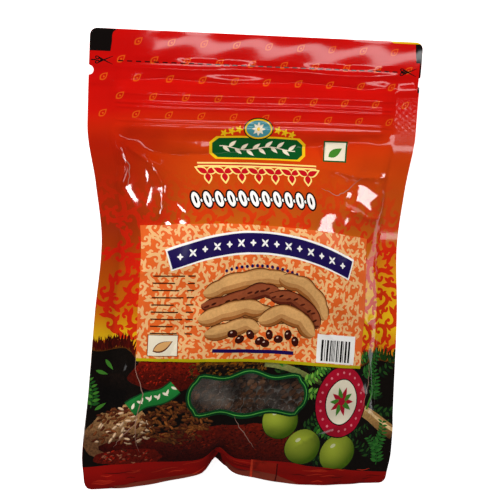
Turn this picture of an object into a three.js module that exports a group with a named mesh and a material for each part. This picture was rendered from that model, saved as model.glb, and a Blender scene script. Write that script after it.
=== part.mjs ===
import * as THREE from 'three';

// Resealable food pouch lying on its back, zipper end towards +Y, front up. Millimetres.

// Film and seals
const LENGTH = 200;
const FILM = 0.5;
const SEAL_GAP = 0.3;
const BODY_EDGE = 0.873;
const TOP_SEAL_START = 186.5;
const CORNER_RADIUS = 3;
const STEP = 0.004;
const TEAR_NOTCH_RADIUS = 2;
const TEAR_NOTCH_V = 182.5;

// Bottom gusset
const GUSSET_FOLD = 24.5;
const GUSSET_LEG_GAP = 0.8;
const MAX_FOLD_DEPTH = 12;
const GUSSET_END = 3;
const GUSSET_SLACK = 1.2;

// Zipper
const ZIP_LOW = 162.3;
const ZIP_HIGH = 173.7;
const ZIP_RIB_V = 169;
const ZIP_HALF_SPACE = 1.3;
const ZIP_CLEARANCE = 0.25;
const ZIP_BASE = 0.45;
const ZIP_RIB_HALF = 0.6;
const ZIP_RIB_HEIGHT = 0.85;
const ZIP_LIP = 0.6;
const ZIP_SPAN = 0.75;

// Sticker
const STICKER_LEFT = -0.745;
const STICKER_RIGHT = 0.735;
const STICKER_LOW = 57.3;
const STICKER_HIGH = 115.3;
const STICKER_PAPER = 0.3;
const STICKER_GAP = 0.35;

// Contents
const FILL_SPAN = 0.76;
const FILL_LOW = 29;
const FILL_HIGH = 128;
const FILL_CLEARANCE = 2;
const POD_WIDTH = 19;
const POD_BEAD = 14;
const POD_RELIEF = 2.4;

// Profiles along the pouch, as [distance from the bottom edge, value]
const HALF_WIDTH = [
  [0, 68.8],
  [15, 70.2],
  [45, 68.8],
  [80, 67.3],
  [110, 65.3],
  [135, 68.2],
  [160, 72.3],
  [200, 72.5],
];
const SEAL_HEIGHT = [
  [0, 8.5],
  [15, 9.5],
  [45, 12],
  [80, 13],
  [110, 12],
  [135, 8.5],
  [155, 6],
  [175, 5.6],
  [200, 6.6],
];
const FRONT_RISE = [
  [0, 4],
  [12, 7.5],
  [30, 13.5],
  [60, 18.5],
  [95, 18.5],
  [118, 15],
  [135, 8.5],
  [148, 3.2],
  [158, 0],
  [200, 0],
];
const BACK_DROP = [
  [0, 6.5],
  [20, 11],
  [45, 14.5],
  [110, 14.5],
  [138, 7],
  [156, 1.5],
  [164, 0],
  [200, 0],
];

// Rounded swellings under the front film, as [x, v, radius, height]
const SWELLINGS = [
  [-34, 104, 15, 1.6],
  [8, 112, 17, 1.4],
  [37, 88, 16, 1.5],
  [-20, 66, 18, 1.3],
  [30, 44, 17, 1.8],
  [-36, 34, 14, 1.5],
];

// Creases of the front film, as [x1, v1, x2, v2, height, half width]
const CREASES = [
  [-61, 157, -46, 146, 0.9, 3.2],
  [-46, 146, -48, 124, 0.9, 3.4],
  [-60, 155, -57, 132, 0.7, 3.0],
  [36, 139, 64, 133, -0.8, 3.4],
  [36, 126, 62, 121, 0.7, 3.4],
  [-52, 58, -49, 28, 0.8, 3.2],
  [-10, 35, 0, 20, 0.9, 3.4],
];

const COLOURS = {
  front: 0xd2560a,
  back: 0xb8161a,
  gusset: 0xc9bcae,
  zipper: 0xe9e6e0,
  sticker: 0xe8a05a,
  fill: 0x3a1d10,
};

// Curve through the given stations that never overshoots them
function along(stations, at) {
  const last = stations.length - 1;
  if (at <= stations[0][0]) return stations[0][1];
  if (at >= stations[last][0]) return stations[last][1];
  let k = 0;
  while (stations[k + 1][0] < at) k += 1;
  const slope = (i) => {
    if (i <= 0 || i >= last) return 0;
    const before = (stations[i][1] - stations[i - 1][1]) / (stations[i][0] - stations[i - 1][0]);
    const after = (stations[i + 1][1] - stations[i][1]) / (stations[i + 1][0] - stations[i][0]);
    return before * after > 0 ? (2 * before * after) / (before + after) : 0;
  };
  const span = stations[k + 1][0] - stations[k][0];
  const t = (at - stations[k][0]) / span;
  const start = stations[k][1];
  const end = stations[k + 1][1];
  const bend = t * t * (3 - 2 * t);
  const lead = t * (1 - t) * (1 - t) * span * slope(k);
  const trail = t * t * (t - 1) * span * slope(k + 1);
  return start + (end - start) * bend + lead + trail;
}

function ramp(low, high, at) {
  const t = Math.min(1, Math.max(0, (at - low) / (high - low)));
  return t * t * (3 - 2 * t);
}

function bell(distance, radius) {
  return Math.exp(-((distance / radius) ** 2));
}

// Half of the space between the two films inside a seal, wider where the gusset lies between them
function leafSpace(v) {
  const folded = SEAL_GAP / 2 + FILM + SEAL_GAP;
  return SEAL_GAP / 2 + (folded - SEAL_GAP / 2) * (1 - ramp(GUSSET_FOLD + 2, GUSSET_FOLD + 9, v));
}

// 1 in the middle of the space between the side seals, 0 on them
function pillow(u, power) {
  return 1 - Math.min(1, Math.abs(u) / BODY_EDGE) ** power;
}

function zipSpace(u, v) {
  const across = 1 - ramp(ZIP_SPAN + 0.005, BODY_EDGE, Math.abs(u));
  const down = ramp(154, ZIP_LOW - 1.5, v);
  const up = 1 - ramp(ZIP_HIGH + 1.2, TOP_SEAL_START, v);
  return (ZIP_HALF_SPACE - SEAL_GAP / 2) * across * down * up;
}

// The filled belly starts along a bowed line under the zipper
function bellyStart(x) {
  return 147.5 + 0.0028 * (x + 30) ** 2 * (x > -30 ? 0.5 : 3.2);
}

function creaseHeight(x, v) {
  let height = 0;
  for (const [x1, v1, x2, v2, size, half] of CREASES) {
    const dx = x2 - x1;
    const dv = v2 - v1;
    const along01 = ((x - x1) * dx + (v - v1) * dv) / (dx * dx + dv * dv);
    const t = Math.min(1, Math.max(0, along01));
    const away = Math.hypot(x - x1 - t * dx, v - v1 - t * dv);
    height += size * bell(away, half);
  }
  return height;
}

function frontRise(u, v) {
  const x = u * along(HALF_WIDTH, v);
  const shift = (158 - bellyStart(x)) * ramp(105, 148, v);
  const round = pillow(u, 2.8);
  let swelling = creaseHeight(x, v);
  for (const [cx, cv, radius, height] of SWELLINGS) {
    swelling += height * bell(Math.hypot(x - cx, v - cv), radius);
  }
  const sunk = 5.5 * bell(x + 11, 6) * bell(v, 12);
  return along(FRONT_RISE, v + shift) * round + swelling * Math.min(1, round * 1.6) - sunk * round;
}

function frontInside(u, v) {
  return along(SEAL_HEIGHT, v) + leafSpace(v) + frontRise(u, v) + zipSpace(u, v);
}

function backInside(u, v) {
  const drop = along(BACK_DROP, v) * pillow(u, 4);
  return Math.max(FILM, along(SEAL_HEIGHT, v) - leafSpace(v) - drop - zipSpace(u, v));
}

// Outline in plan, with round corners and the two tear notches
function halfWidth(v) {
  const fromEnd = Math.min(v, LENGTH - v);
  const cut = Math.max(0, CORNER_RADIUS - fromEnd);
  return along(HALF_WIDTH, v) - CORNER_RADIUS + Math.sqrt(CORNER_RADIUS ** 2 - cut ** 2);
}

function planX(u, v) {
  const off = Math.abs(v - TEAR_NOTCH_V);
  const bite = off < TEAR_NOTCH_RADIUS ? Math.sqrt(TEAR_NOTCH_RADIUS ** 2 - off ** 2) : 0;
  return u * halfWidth(v) - Math.sign(u) * bite * ramp(0.95, 1, Math.abs(u));
}

// The filled film is drawn up along the middle, most of all at one place of the bottom edge
function planY(u, v, share) {
  const x = u * 70;
  const middle = 6.5 * pillow(u, 2) * ramp(-8, 48, v) * (1 - ramp(118, 158, v));
  const edge = (7.2 * bell(x + 12, 30) + 6.2 * bell(x + 11, 4.6)) * bell(v, 16);
  return v + (middle + edge) * share;
}

// Grid lines across and along the film
function spread(from, to, cells) {
  return Array.from({ length: cells + 1 }, (_, i) => from + ((to - from) * i) / cells);
}

function joinLines(...parts) {
  const merged = parts.flat().sort((a, b) => a - b);
  return merged.filter((value, i) => i === 0 || value - merged[i - 1] > 1e-6);
}

const ACROSS = joinLines(
  spread(-1, -BODY_EDGE, 2),
  spread(-BODY_EDGE, STICKER_LEFT, 2),
  spread(STICKER_LEFT, STICKER_RIGHT, 19),
  spread(STICKER_RIGHT, BODY_EDGE, 2),
  spread(BODY_EDGE, 1, 2),
);
const NOTCH_LINES = [-2, -1.5, 0, 1.5, 2].map((step) => TEAR_NOTCH_V + step);
const ALONG = joinLines(
  [0, 0.4, 1.2, 3, 6, 10],
  spread(10, STICKER_LOW, 9),
  spread(STICKER_LOW, STICKER_HIGH, 11),
  spread(STICKER_HIGH, 153, 7),
  spread(153, 176, 7),
  NOTCH_LINES,
  [TEAR_NOTCH_V + 3.6, 190, 194, 197, 198.8, 199.6, LENGTH],
);
const GUSSET_ACROSS = joinLines([-0.98, 0.98], ACROSS.filter((u) => Math.abs(u) < 0.97));
const BACK_ACROSS = joinLines(
  spread(-1, -BODY_EDGE, 2),
  spread(-BODY_EDGE, BODY_EDGE, 16),
  spread(BODY_EDGE, 1, 2),
);
const BACK_ALONG = joinLines(
  [0, 0.4, 1.2, 3, 7, 12],
  spread(12, 153, 18),
  spread(153, 176, 6),
  NOTCH_LINES,
  [TEAR_NOTCH_V + 3.6, 192, 197, 198.8, 199.6, LENGTH],
);

function meshFrom(name, points, triangles, colour) {
  const geometry = new THREE.BufferGeometry();
  geometry.setAttribute('position', new THREE.Float32BufferAttribute(points.flat(), 3));
  geometry.setIndex(triangles.flat());
  geometry.computeVertexNormals();
  const material = new THREE.MeshStandardMaterial({ color: colour, roughness: 0.5 });
  material.name = name;
  const mesh = new THREE.Mesh(geometry, material);
  mesh.name = name;
  return mesh;
}

// Closed body between an upper and a lower sheet of points with the same grid
function bodyBetween(name, upper, lower, colour) {
  const rows = upper.length;
  const cols = upper[0].length;
  const points = [...upper.flat(), ...lower.flat()];
  const top = (i, j) => i * cols + j;
  const under = (i, j) => rows * cols + i * cols + j;
  const triangles = [];
  const quad = (a, b, c, d) => triangles.push([a, b, c], [a, c, d]);
  for (let i = 0; i < rows - 1; i += 1) {
    for (let j = 0; j < cols - 1; j += 1) {
      quad(top(i, j), top(i, j + 1), top(i + 1, j + 1), top(i + 1, j));
      quad(under(i, j), under(i + 1, j), under(i + 1, j + 1), under(i, j + 1));
    }
  }
  for (let j = 0; j < cols - 1; j += 1) {
    quad(top(0, j), under(0, j), under(0, j + 1), top(0, j + 1));
    quad(top(rows - 1, j + 1), under(rows - 1, j + 1), under(rows - 1, j), top(rows - 1, j));
  }
  for (let i = 0; i < rows - 1; i += 1) {
    quad(top(i + 1, 0), under(i + 1, 0), under(i, 0), top(i, 0));
    quad(top(i, cols - 1), under(i, cols - 1), under(i + 1, cols - 1), top(i + 1, cols - 1));
  }
  return meshFrom(name, points, triangles, colour);
}

// Point of a film, moved off its middle surface along the normal
function filmPoint(u, v, film, distance) {
  const at = (uu, vv) =>
    new THREE.Vector3(planX(uu, vv), planY(uu, vv, film.share), film.middle(uu, vv));
  const across = at(Math.min(1, u + STEP), v).sub(at(Math.max(-1, u - STEP), v));
  const down = at(u, Math.min(LENGTH, v + 1)).sub(at(u, Math.max(0, v - 1)));
  const normal = across.cross(down).normalize();
  return at(u, v).addScaledVector(normal, distance).toArray();
}

function filmSheet(acrossLines, alongLines, film, distance) {
  return alongLines.map((v) => acrossLines.map((u) => filmPoint(u, v, film, distance)));
}

// Grid of points moved along the surface normal
function offset(grid, distance) {
  const rows = grid.length;
  const cols = grid[0].length;
  const at = (i, j) => new THREE.Vector3(...grid[i][j]);
  return grid.map((row, i) =>
    row.map((point, j) => {
      const across = at(i, Math.min(j + 1, cols - 1)).sub(at(i, Math.max(j - 1, 0)));
      const down = at(Math.min(i + 1, rows - 1), j).sub(at(Math.max(i - 1, 0), j));
      const normal = across.cross(down).normalize();
      return at(i, j).addScaledVector(normal, distance).toArray();
    }),
  );
}

const FRONT = { middle: (u, v) => frontInside(u, v) + FILM / 2, share: 1 };
const BACK = { middle: (u, v) => backInside(u, v) - FILM / 2, share: 0.8 };

function frontFilm() {
  const outside = filmSheet(ACROSS, ALONG, FRONT, FILM / 2);
  const inside = filmSheet(ACROSS, ALONG, FRONT, -FILM / 2);
  return bodyBetween('front_film', outside, inside, COLOURS.front);
}

function backFilm() {
  const inside = filmSheet(BACK_ACROSS, BACK_ALONG, BACK, FILM / 2);
  const outside = filmSheet(BACK_ACROSS, BACK_ALONG, BACK, -FILM / 2).map((row, i) =>
    row.map(([x, y, z], j) => {
      const resting = BACK.middle(BACK_ACROSS[j], BACK_ALONG[i]) <= FILM / 2;
      return [x, y, resting ? 0 : Math.max(0, z)];
    }),
  );
  return bodyBetween('back_film', inside, outside, COLOURS.back);
}

function sticker() {
  const across = ACROSS.filter((u) => u > STICKER_LEFT - 1e-6 && u < STICKER_RIGHT + 1e-6);
  const rows = ALONG.filter((v) => v > STICKER_LOW - 1e-6 && v < STICKER_HIGH + 1e-6);
  const low = FILM / 2 + STICKER_GAP;
  const face = filmSheet(across, rows, FRONT, low + STICKER_PAPER);
  return bodyBetween('sticker', face, filmSheet(across, rows, FRONT, low), COLOURS.sticker);
}

// Film folded up between the panels, from the front edge round the fold to the back edge
function gusset() {
  const section = (u) => {
    const off = SEAL_GAP + FILM + GUSSET_SLACK * Math.min(1, 4 * pillow(u, 2.8));
    const legs = (v) => [filmPoint(u, v, FRONT, -off), filmPoint(u, v, BACK, off)];
    const [frontNear, backNear] = legs(GUSSET_FOLD - MAX_FOLD_DEPTH / 2);
    const opening = (frontNear[2] - backNear[2]) / 2;
    const depth = Math.min(MAX_FOLD_DEPTH, Math.max(GUSSET_LEG_GAP / 2, opening));
    const legEnd = GUSSET_FOLD - depth;
    const [frontEnd, backEnd] = legs(legEnd).map((point) => new THREE.Vector3(...point));
    const centre = frontEnd.clone().add(backEnd).multiplyScalar(0.5);
    const half = frontEnd.clone().sub(centre);
    const bend = spread(-0.5, 0.5, 8).slice(1, -1).map((angle) => {
      const turn = angle * Math.PI;
      const point = centre.clone().addScaledVector(half, -Math.sin(turn));
      return [point.x, point.y + depth * Math.cos(turn), point.z];
    });
    const low = spread(GUSSET_END, legEnd, 4);
    const high = [...low].reverse();
    return [...low.map((v) => legs(v)[0]), ...bend, ...high.map((v) => legs(v)[1])];
  };
  const columns = GUSSET_ACROSS.map(section);
  const middle = columns[0].map((_, i) => columns.map((column) => column[i]));
  const face = offset(middle, FILM / 2);
  return bodyBetween('gusset_film', face, offset(middle, -FILM / 2), COLOURS.gusset);
}

// Strip drawn across the pouch with one cross-section, given as [v, height above the seal plane]
function zipperStrip(name, outline) {
  const stations = spread(-ZIP_SPAN, ZIP_SPAN, 12);
  const points = stations.flatMap((u) =>
    outline.map(([v, h]) => [planX(u, v), v, along(SEAL_HEIGHT, v) + h]),
  );
  const count = outline.length;
  const triangles = [];
  for (let s = 0; s < stations.length - 1; s += 1) {
    for (let k = 0; k < count; k += 1) {
      const next = (k + 1) % count;
      const a = s * count + k;
      const b = s * count + next;
      triangles.push([a, b, b + count], [a, b + count, a + count]);
    }
  }
  const shape = outline.map(([v, h]) => new THREE.Vector2(v, h));
  const end = (stations.length - 1) * count;
  for (const [a, b, c] of THREE.ShapeUtils.triangulateShape(shape, [])) {
    triangles.push([c, b, a], [a + end, b + end, c + end]);
  }
  return meshFrom(name, points, triangles, COLOURS.zipper);
}

function ribStrip() {
  const top = ZIP_HALF_SPACE - ZIP_CLEARANCE;
  const base = top - ZIP_BASE;
  const tip = base - ZIP_RIB_HEIGHT;
  return zipperStrip('zipper_rib', [
    [ZIP_LOW, base],
    [ZIP_RIB_V - ZIP_RIB_HALF, base],
    [ZIP_RIB_V - ZIP_RIB_HALF, tip],
    [ZIP_RIB_V + ZIP_RIB_HALF, tip],
    [ZIP_RIB_V + ZIP_RIB_HALF, base],
    [ZIP_HIGH, base],
    [ZIP_HIGH, top],
    [ZIP_LOW, top],
  ]);
}

function grooveStrip() {
  const low = -(ZIP_HALF_SPACE - ZIP_CLEARANCE);
  const base = low + ZIP_BASE;
  const lip = base + ZIP_RIB_HEIGHT;
  const inner = ZIP_RIB_HALF + SEAL_GAP;
  const outer = inner + ZIP_LIP;
  return zipperStrip('zipper_groove', [
    [ZIP_LOW, low],
    [ZIP_HIGH, low],
    [ZIP_HIGH, base],
    [ZIP_RIB_V + outer, base],
    [ZIP_RIB_V + outer, lip],
    [ZIP_RIB_V + inner, lip],
    [ZIP_RIB_V + inner, base],
    [ZIP_RIB_V - inner, base],
    [ZIP_RIB_V - inner, lip],
    [ZIP_RIB_V - outer, lip],
    [ZIP_RIB_V - outer, base],
    [ZIP_LOW, base],
  ]);
}

// Pressed shelled fruit, its surface grooved between the pods and between the seeds
function contents() {
  const side = spread(-1, 1, 21);
  const groove = (x, y) => {
    const pod = Math.abs(Math.sin((Math.PI * (x + 0.12 * y)) / POD_WIDTH));
    const bead = Math.abs(Math.sin((Math.PI * (y - 0.2 * x)) / POD_BEAD));
    return POD_RELIEF * (1 - pod ** 0.7) + 0.45 * POD_RELIEF * (1 - bead ** 0.7);
  };
  const place = (s, t, upper) => {
    const u = FILL_SPAN * s * (1 - 0.05 * t * t);
    const v = FILL_LOW + ((t + 1) / 2) * (FILL_HIGH - FILL_LOW) * (1 - 0.03 * s * s);
    const x = planX(u, v);
    const y = planY(u, v, 1);
    const high = frontInside(u, v) - FILL_CLEARANCE;
    const low = backInside(u, v) + FILL_CLEARANCE;
    const round = 0.25 + 0.75 * Math.sqrt((1 - s ** 6) * (1 - t ** 6));
    const centre = (high + low) / 2;
    const half = Math.max(0.6, ((high - low) / 2 - groove(x, y)) * round);
    return [x, y, centre + (upper ? half : -half)];
  };
  const upper = side.map((t) => side.map((s) => place(s, t, true)));
  const lower = side.map((t) => side.map((s) => place(s, t, false)));
  return bodyBetween('tamarind', upper, lower, COLOURS.fill);
}

const pouch = new THREE.Group();
pouch.name = 'pouch';
const pieces = [frontFilm(), backFilm(), gusset(), ribStrip(), grooveStrip(), sticker(), contents()];
pouch.add(...pieces);

// Put the origin under the middle of the whole pouch
const box = new THREE.Box3().setFromObject(pouch);
const middleX = (box.min.x + box.max.x) / 2;
const middleY = (box.min.y + box.max.y) / 2;
for (const piece of pieces) {
  piece.geometry.translate(-middleX, -middleY, -box.min.z);
}

export default pouch;
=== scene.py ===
import math

import bpy
import numpy as np
from mathutils import Matrix, Vector
from mathutils.geometry import delaunay_2d_cdt


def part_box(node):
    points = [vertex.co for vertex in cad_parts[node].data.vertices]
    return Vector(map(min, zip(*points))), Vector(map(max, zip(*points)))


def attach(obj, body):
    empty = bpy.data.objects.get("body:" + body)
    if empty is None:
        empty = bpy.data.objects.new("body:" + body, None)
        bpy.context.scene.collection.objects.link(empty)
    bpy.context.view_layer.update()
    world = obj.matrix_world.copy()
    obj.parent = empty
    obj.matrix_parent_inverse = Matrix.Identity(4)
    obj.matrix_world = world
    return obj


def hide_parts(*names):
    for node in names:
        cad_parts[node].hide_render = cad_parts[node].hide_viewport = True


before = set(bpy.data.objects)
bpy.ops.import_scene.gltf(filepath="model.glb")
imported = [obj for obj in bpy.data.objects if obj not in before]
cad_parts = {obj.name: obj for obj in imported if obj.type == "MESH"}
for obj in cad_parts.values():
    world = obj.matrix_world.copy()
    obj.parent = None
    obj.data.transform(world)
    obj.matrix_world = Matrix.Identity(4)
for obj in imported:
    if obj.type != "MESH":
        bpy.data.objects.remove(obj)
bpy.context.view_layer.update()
scene = bpy.context.scene
rng = np.random.default_rng(7)

# Millimetres on the flat print: x across from the middle, v up from the bottom edge, u is x / HALF
HALF = 72.5
LENGTH = 200.0
FILM = 0.5
BODY_EDGE = 0.873
SEAL_LINE = BODY_EDGE * HALF
GUSSET_FOLD = (26.5, 33.5)
ZIP_LOW, ZIP_HIGH, ZIP_RIB_V = 162.3, 173.7, 169.0
TOP_SEAL = 187
CORNER = 3
TEAR_V, TEAR_RADIUS = 182.5, 2
DENT_X = -11
BELLY_TOP, BELLY_TOP_X = 147.5, -30
RISE_END = 158
SHIFT_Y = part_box("front_film")[1][1] * 1000 - LENGTH

# Sizes at stations up the pouch, as (v, size)
HALF_WIDTH = [
    (0, 68.8), (15, 70.2), (45, 68.8), (80, 67.3), (110, 65.3), (135, 68.2), (160, 72.3), (LENGTH, HALF),
]
SEAL_HEIGHT = [
    (0, 8.5), (15, 9.5), (45, 12), (80, 13), (110, 12), (135, 8.5), (155, 6), (175, 5.6), (LENGTH, 6.6),
]
FRONT_RISE = [
    (0, 4), (12, 7.5), (30, 13.5), (60, 18.5), (95, 18.5), (118, 15), (135, 8.5), (148, 3.2),
    (RISE_END, 0), (LENGTH, 0),
]
BACK_DROP = [(0, 6.5), (20, 11), (45, 14.5), (110, 14.5), (138, 7), (156, 1.5), (164, 0), (LENGTH, 0)]

# Soft swellings of the belly, as (x, v, radius, height)
SWELLINGS = [
    (-34, 104, 15, 1.6), (8, 112, 17, 1.4), (37, 88, 16, 1.5),
    (-20, 66, 18, 1.3), (30, 44, 17, 1.8), (-36, 34, 14, 1.5),
]
# Soft creases, as (x1, v1, x2, v2, height, half width)
SOFT_CREASES = [
    (-61, 157, -45, 144, 0.9, 3.2), (-43, 142, -42, 122, 0.9, 3.4), (-60, 155, -57, 132, 0.7, 3.0),
    (36, 139, 64, 133, -0.8, 3.4), (36, 126, 62, 121, 0.7, 3.4), (-52, 58, -49, 28, 0.8, 3.2),
    (-10, 35, 0, 20, 0.9, 3.4),
]
# Ridges over the zipper: its two flange steps and the closed profile, as (v, height, half width)
ZIP_RIDGES = [
    (ZIP_HIGH, 0.12, 0.5), (ZIP_RIB_V + 0.9, 0.2, 0.6), (ZIP_RIB_V - 0.9, 0.14, 0.6), (ZIP_LOW, 0.12, 0.5),
]


# Shape of the films
def along(stations, at):
    """Smooth curve through the stations that never overshoots them."""
    xs = np.array([s[0] for s in stations], float)
    ys = np.array([s[1] for s in stations], float)
    at = np.clip(np.asarray(at, float), xs[0], xs[-1])
    steps = np.diff(ys) / np.diff(xs)
    slope = np.zeros(len(xs))
    for i in range(1, len(xs) - 1):
        before, after = steps[i - 1], steps[i]
        slope[i] = 2 * before * after / (before + after) if before * after > 0 else 0
    k = np.clip(np.searchsorted(xs, at) - 1, 0, len(xs) - 2)
    gap = xs[k + 1] - xs[k]
    t = (at - xs[k]) / gap
    bend = t * t * (3 - 2 * t)
    lead = t * (1 - t) ** 2 * gap * slope[k]
    trail = t * t * (t - 1) * gap * slope[k + 1]
    return ys[k] + (ys[k + 1] - ys[k]) * bend + lead + trail


def ramp(low, high, at):
    t = np.clip((at - low) / (high - low), 0, 1)
    return t * t * (3 - 2 * t)


def bell(distance, radius):
    return np.exp(-((distance / radius) ** 2))


def leaf_space(v):
    """Half of the space between the films, wider where the gusset lies between them."""
    return 0.15 + 0.8 * (1 - ramp(*GUSSET_FOLD, v))


def pillow(u, power):
    return 1 - np.minimum(1, np.abs(u) / BODY_EDGE) ** power


def zip_space(u, v):
    across = 1 - ramp(0.755, BODY_EDGE, np.abs(u))
    return 1.15 * across * ramp(154, ZIP_LOW - 1.5, v) * (1 - ramp(ZIP_HIGH + 1.2, TOP_SEAL - 0.5, v))


def segment_distance(x, v, x1, v1, x2, v2):
    dx, dv = x2 - x1, v2 - v1
    t = np.clip(((x - x1) * dx + (v - v1) * dv) / (dx * dx + dv * dv), 0, 1)
    return np.hypot(x - x1 - t * dx, v - v1 - t * dv), t


def front_rise(u, v):
    """Rise of the filled front over the side seals."""
    x = u * along(HALF_WIDTH, v)
    sag = np.where(x > BELLY_TOP_X, 0.5, 3.2)
    start = BELLY_TOP + 0.0028 * (x - BELLY_TOP_X) ** 2 * sag
    rounded = pillow(u, 2.8)
    swelling = np.zeros_like(x)
    for x1, v1, x2, v2, size, half in SOFT_CREASES:
        swelling += size * bell(segment_distance(x, v, x1, v1, x2, v2)[0], half)
    for cx, cv, radius, height in SWELLINGS:
        swelling += height * bell(np.hypot(x - cx, v - cv), radius)
    dent = 5.5 * bell(x - DENT_X, 6) * bell(v, 12)
    rise = along(FRONT_RISE, v + (RISE_END - start) * ramp(105, 148, v)) * rounded
    return rise + swelling * np.minimum(1, rounded * 1.6) - dent * rounded


def plan_xy(u, v, share):
    """Plan of the film, with round corners, tear notches and the bottom drawn up by the filling."""
    cut = np.maximum(0, CORNER - np.minimum(v, LENGTH - v))
    half = along(HALF_WIDTH, v) - CORNER + np.sqrt(np.maximum(0, CORNER**2 - cut**2))
    off = np.abs(v - TEAR_V)
    bite = np.sqrt(np.maximum(0, TEAR_RADIUS**2 - off**2)) * ramp(0.95, 1, np.abs(u))
    middle = 6.5 * pillow(u, 2) * ramp(-8, 48, v) * (1 - ramp(118, 158, v))
    edge = (7.2 * bell(u * 70 + 12, 30) + 6.2 * bell(u * 70 - DENT_X, 4.6)) * bell(v, 16)
    return u * half - np.sign(u) * bite, v + (middle + edge) * share + SHIFT_Y


# Sharp folds of the film, as (points (x, v), height, half width): a minus sign sinks the film
BELLY_EDGE = [
    (-62, 157), (-54, 152), (-46, 148.3), (-34, 147), (-24, 147.4),
    (0, 149.5), (20, 152), (44, 156), (64, 160),
]
FOLDS = [
    (BELLY_EDGE, -1.1, 2.6),
    ([(-62, 157), (-55, 151), (-45, 143.7), (-40.5, 134), (-41.5, 124), (-46, 118)], 1.3, 1.7),
    ([(-38, 128), (-33, 121), (-37, 117)], -0.8, 2.0),
    ([(-60.5, 155), (-56, 143), (-59.5, 130)], 1.1, 1.3),
    ([(-46, 146), (-36, 139), (-30, 131)], 0.7, 1.8),
    ([(30, 143), (46, 139.5), (64, 141)], 0.9, 1.5),
    ([(36, 126), (50, 122), (65, 124)], 0.9, 1.6),
    ([(40, 140), (43, 132), (38, 125)], -0.7, 1.5),
    ([(55, 140), (58, 132), (63, 126)], 0.6, 1.3),
    ([(-54, 68), (-53, 55), (-49, 46), (-51, 31), (-48, 16)], 1.1, 2.1),
    ([(-51, 31), (-56, 26), (-60, 22)], 0.7, 1.9),
    ([(-11, 38), (-5, 28), (-1, 20)], 1.0, 1.6),
    ([(-12, 10), (-10, 18), (-13, 30)], -0.45, 3.0),
    ([(7, 1), (6.5, 8), (5.5, 15)], -0.9, 0.9),
    ([(9.5, 1), (9, 9), (8, 16)], 0.7, 1.2),
    ([(-60, 100), (-52, 97), (-45, 99)], 0.6, 1.4),
    ([(60, 80), (52, 77), (46, 79)], 0.6, 1.4),
    ([(22, 18), (32, 26), (45, 30)], 0.7, 1.7),
    ([(-30, 14), (-26, 24), (-31, 33)], 0.7, 1.6),
    ([(55, 60), (58, 44), (55, 30)], 0.8, 1.5),
    ([(-66, 178.5), (-40, 180), (-12, 178.8), (20, 180.4), (48, 178.6), (68, 180)], -0.7, 1.5),
    ([(-66, 184.5), (-30, 184.2), (10, 185.2), (40, 184.3), (68, 185)], 0.35, 1.2),
]
FINE_FOLDS = 46
BELLY_MIDDLE = 95


def fine_fold():
    """A small bowed fold that points more or less away from the middle of the belly."""
    x, v = rng.uniform(-56, 56), rng.uniform(12, 158)
    turn = math.atan2(v - BELLY_MIDDLE, x) + rng.uniform(-0.6, 0.6)
    reach = rng.uniform(4, 12)
    dx, dv = reach * math.cos(turn), reach * math.sin(turn)
    bow = (rng.uniform(-1.5, 1.5), rng.uniform(-1.5, 1.5))
    route = [(x - dx, v - dv), (x + bow[0], v + bow[1]), (x + dx, v + dv)]
    return route, rng.choice([-1, 1]) * rng.uniform(0.12, 0.38), rng.uniform(0.9, 2.0)


FOLDS += [fine_fold() for _ in range(FINE_FOLDS)]


def folds(x, v):
    total = np.zeros_like(x)
    for points, height, half in FOLDS:
        nearest = np.full_like(x, 1e9)
        share = np.zeros_like(x)
        count = len(points) - 1
        for i, ((x1, v1), (x2, v2)) in enumerate(zip(points, points[1:])):
            away, t = segment_distance(x, v, x1, v1, x2, v2)
            closer = away < nearest
            nearest = np.where(closer, away, nearest)
            share = np.where(closer, (i + t) / count, share)
        fading = np.minimum(1, 4 * np.minimum(share, 1 - share) + 0.12)
        total += height * fading * np.exp(-np.sqrt((nearest / half) ** 2 + 0.03) + 0.17)
    return total


def zipper_marks(u, x, v):
    """Ridges of the closed zipper, its crushed ends, and the slight tilt of its band."""
    band = 1 - ramp(0.82, 0.86, np.abs(u))
    height = np.zeros_like(x)
    for at, size, half in ZIP_RIDGES:
        height += size * bell(v - at - 0.35 * np.sin(x * 0.05), half) * band
    ends = ramp(0.83, 0.86, np.abs(u)) * (1 - ramp(0.975, 0.99, np.abs(u)))
    ends = ends * ramp(160, 161.5, v) * (1 - ramp(174.5, 176, v))
    height += 0.007 * np.cos(x * 2.2 + np.sin(v)) * np.cos(v * 1.9) * ends
    tilt = 0.035 * (v - 168) * ramp(159, 162, v) * (1 - ramp(174, 177, v))
    return height + tilt * band


def seal_marks(x, v, inside):
    """Waves of the top seal, wrinkles under it, and ribs of the bottom seal."""
    waves = 0.22 * np.sin(0.11 * x + 0.6) + 0.04 * np.sin(0.24 * x - 0.3 * v) - 0.048 * (v - TOP_SEAL)
    wrinkles = 0.16 * np.sin(0.7 * (v - 176) + 0.8 * np.sin(0.05 * x)) * (0.5 + 0.5 * np.sin(0.08 * x + 2))
    under = ramp(175.5, 177, v) * (1 - ramp(184, TOP_SEAL, v))
    ribs = 0.07 * np.sin(1.15 * v + 0.05 * x) + 0.12 * np.sin(0.2 * x + 0.4 * v)
    low_seal = 1 - ramp(7.5, 9, v - 0.02 * x)
    return waves * ramp(TOP_SEAL, TOP_SEAL + 1.5, v) + wrinkles * under + ribs * low_seal * inside


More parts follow.
